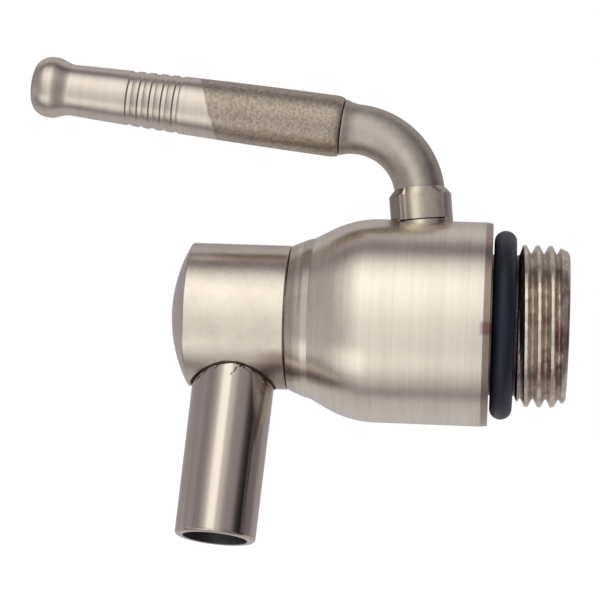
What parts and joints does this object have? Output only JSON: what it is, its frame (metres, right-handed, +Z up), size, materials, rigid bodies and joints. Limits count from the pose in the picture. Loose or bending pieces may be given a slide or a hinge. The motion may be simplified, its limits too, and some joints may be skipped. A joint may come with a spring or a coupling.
{
  "type": "lever dispensing tap",
  "caption": "Quarter-turn lever tap with a threaded shank, a swivel spout head with a straight tube, and a bent lever with a ribbed, tapered grip.",
  "frame": {"origin": "on the bore axis at the body's sealing face, where the O-ring seats against the dispenser's wall", "axes": "+X along the bore, into the dispenser, towards the end of the threaded shank; +Z up; the spout hangs down at -X and the lever lies over it"},
  "size_m": [0.0783, 0.029, 0.0694],
  "materials": {
    "brushed_steel_body": "stainless steel, fine brushing round the axis",
    "satin_steel_head": "stainless steel, satin blasted, slightly mottled",
    "satin_steel_lever": "stainless steel, satin, handled",
    "polished_steel_tube": "stainless steel tube, drawn and polished lengthwise",
    "polished_steel_ball": "polished ball",
    "machined_steel": "as machined",
    "black_rubber": "black, slightly glossy seal rubber",
    "white_ptfe": "waxy white seat plastic"
  },
  "bodies": {
    "tap_body": {"valve_body": "brushed_steel_body", "shank_seal_ring": "black_rubber", "rear_seat": "white_ptfe", "front_seat": "white_ptfe", "seat_retainer": "machined_steel", "thrust_washer": "white_ptfe", "stop_pin": "machined_steel"},
    "lever": {"valve_stem": "machined_steel", "stem_seal_ring_lower": "black_rubber", "stem_seal_ring_upper": "black_rubber", "lever_collar": "satin_steel_lever", "collar_set_screw": "machined_steel", "lever_neck": "satin_steel_lever", "lever_grip": "satin_steel_lever"},
    "ball": {"valve_ball": "polished_steel_ball"},
    "spout": {"spout_head": "satin_steel_head", "spout_tube": "polished_steel_tube", "head_seal_ring_front": "black_rubber", "head_seal_ring_rear": "black_rubber", "head_retaining_ring": "machined_steel"}
  },
  "joints": [
    {"name": "lever_turn", "type": "hinge", "parent": "tap_body", "child": "lever", "pos_m": [-0.00905, 0, 0], "axis": [0.108, 0, -0.9942], "range_deg": [0, 90]},
    {"name": "ball_turn", "type": "hinge", "parent": "tap_body", "child": "ball", "pos_m": [-0.00905, 0, 0], "axis": [0.108, 0, -0.9942], "range_deg": [0, 90]},
    {"name": "spout_swivel", "type": "hinge", "parent": "tap_body", "child": "spout", "pos_m": [-0.036, 0, 0], "axis": [1, 0, 0], "range_deg": [-76, 104]}
  ],
  "couplings": [
    {"joint": "ball_turn", "follows": "lever_turn", "ratio": 1}
  ]
}
